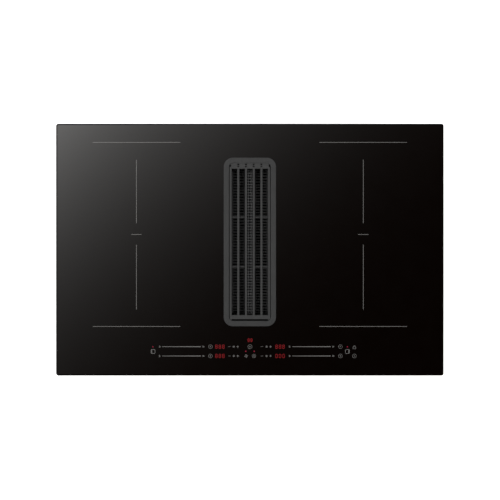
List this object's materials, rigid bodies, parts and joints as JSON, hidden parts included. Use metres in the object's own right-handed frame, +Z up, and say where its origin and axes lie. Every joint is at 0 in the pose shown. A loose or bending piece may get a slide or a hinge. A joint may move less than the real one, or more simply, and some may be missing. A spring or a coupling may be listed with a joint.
{
  "type": "downdraft induction cooktop",
  "caption": "Built-in black glass induction cooktop with touch controls and a central downdraft extractor: lift-out grille, filter and tray, blower and rear duct spigot.",
  "frame": {"origin": "middle of the glass plate seen from above, at the worktop's surface, which is the underside of the foam seal", "axes": "+X to the right, +Y to the back, +Z up; the cook stands at -Y"},
  "size_m": [0.8, 0.52, 0.188],
  "materials": {
    "glass_black": "gloss",
    "foam_rubber": "matte",
    "rim_anthracite": "satin",
    "grille_anthracite": "satin",
    "filter_steel": "satin",
    "filter_mesh": "satin",
    "tray_steel": "satin",
    "duct_black": "matte",
    "cup_plastic": "gloss",
    "case_steel": "satin",
    "mica_white": "matte",
    "coil_copper": "satin",
    "former_cream": "matte",
    "ferrite_grey": "matte",
    "plate_aluminium": "satin",
    "spring_steel": "gloss",
    "board_green": "satin",
    "component_dark": "gloss",
    "fan_black": "satin",
    "display_red": "gloss",
    "contact_gold": "satin",
    "impeller_grey": "matte",
    "motor_steel": "satin",
    "spigot_grey": "matte"
  },
  "bodies": {
    "hob": {"glass_top": "glass_black", "worktop_seal": "foam_rubber", "intake_rim": "rim_anthracite", "air_shaft": "duct_black", "shaft_gasket": "foam_rubber", "sump_housing": "duct_black", "case": "case_steel", "coil_insulation": "mica_white", "coil_left_front": "coil_copper", "coil_left_rear": "coil_copper", "coil_right_front": "coil_copper", "coil_right_rear": "coil_copper", "coil_formers": "former_cream", "ferrites": "ferrite_grey", "coil_plate_left": "plate_aluminium", "coil_plate_right": "plate_aluminium", "plate_posts": "former_cream", "plate_springs": "spring_steel", "zone_sensors": "former_cream", "board_trays": "duct_black", "power_boards": "board_green", "heatsinks": "plate_aluminium", "board_components": "component_dark", "fan_frame_left": "fan_black", "fan_frame_right": "fan_black", "mains_board": "board_green", "control_tray": "duct_black", "touch_board": "board_green", "display_modules": "display_red", "touch_pads": "contact_gold", "blower_chamber": "duct_black", "blower_deck": "duct_black", "blower_tub": "duct_black", "motor_stator": "coil_copper", "motor_bearings": "spring_steel", "outlet_spigot": "spigot_grey", "terminal_box": "duct_black", "terminal_block": "former_cream", "cable_gland": "fan_black", "clamp_brackets": "case_steel", "fixing_screws": "spring_steel"},
    "grille": {"intake_grille": "grille_anthracite", "grille_pads": "foam_rubber"},
    "filter": {"filter_frame": "filter_steel", "filter_ridge": "filter_steel", "filter_panels": "filter_steel", "filter_mesh": "filter_mesh"},
    "tray": {"grease_tray": "tray_steel"},
    "blower_wheel": {"impeller": "impeller_grey", "motor_rotor": "motor_steel"},
    "left_fan": {"fan_rotor_left": "fan_black"},
    "right_fan": {"fan_rotor_right": "fan_black"},
    "flap": {"backdraft_flap": "spigot_grey"},
    "cup": {"oil_cup": "cup_plastic", "cup_seal": "foam_rubber"},
    "connection_lid": {"terminal_lid": "duct_black"},
    "left_front_clamp": {"clamp_left_front": "spring_steel"},
    "left_rear_clamp": {"clamp_left_rear": "spring_steel"},
    "right_front_clamp": {"clamp_right_front": "spring_steel"},
    "right_rear_clamp": {"clamp_right_rear": "spring_steel"}
  },
  "joints": [
    {"name": "grille_lift", "type": "slide", "parent": "hob", "child": "grille", "axis": [0, 0, 1], "range_m": [0, 0.26]},
    {"name": "filter_lift", "type": "slide", "parent": "hob", "child": "filter", "axis": [0, 0, 1], "range_m": [0, 0.195]},
    {"name": "tray_lift", "type": "slide", "parent": "hob", "child": "tray", "axis": [0, 0, 1], "range_m": [0, 0.169]},
    {"name": "impeller_spin", "type": "hinge", "parent": "hob", "child": "blower_wheel", "pos_m": [0.1941, 0, -0.14], "axis": [0, 0, 1], "continuous": true},
    {"name": "left_fan_spin", "type": "hinge", "parent": "hob", "child": "left_fan", "pos_m": [-0.3228, -0.1968, -0.04], "axis": [0, 0, 1], "continuous": true},
    {"name": "right_fan_spin", "type": "hinge", "parent": "hob", "child": "right_fan", "pos_m": [0.3228, -0.1968, -0.04], "axis": [0, 0, 1], "continuous": true},
    {"name": "flap_swing", "type": "hinge", "parent": "hob", "child": "flap", "pos_m": [0.1621, 0.168, -0.097], "axis": [1, 0, 0], "range_deg": [0, 70]},
    {"name": "cup_drop", "type": "slide", "parent": "hob", "child": "cup", "axis": [0, 0, -1], "range_m": [0, 0.04]},
    {"name": "lid_swing", "type": "hinge", "parent": "hob", "child": "connection_lid", "pos_m": [-0.235, 0.1396, -0.0825], "axis": [-1, 0, 0], "range_deg": [0, 90]},
    {"name": "left_front_clamp_travel", "type": "slide", "parent": "hob", "child": "left_front_clamp", "axis": [0, 0, 1], "range_m": [-0.016, 0.01]},
    {"name": "left_rear_clamp_travel", "type": "slide", "parent": "hob", "child": "left_rear_clamp", "axis": [0, 0, 1], "range_m": [-0.016, 0.01]},
    {"name": "right_front_clamp_travel", "type": "slide", "parent": "hob", "child": "right_front_clamp", "axis": [0, 0, 1], "range_m": [-0.016, 0.01]},
    {"name": "right_rear_clamp_travel", "type": "slide", "parent": "hob", "child": "right_rear_clamp", "axis": [0, 0, 1], "range_m": [-0.016, 0.01]}
  ],
  "couplings": [
    {"joint": "filter_lift", "follows": "grille_lift", "ratio": 0.75},
    {"joint": "tray_lift", "follows": "grille_lift", "ratio": 0.65}
  ]
}
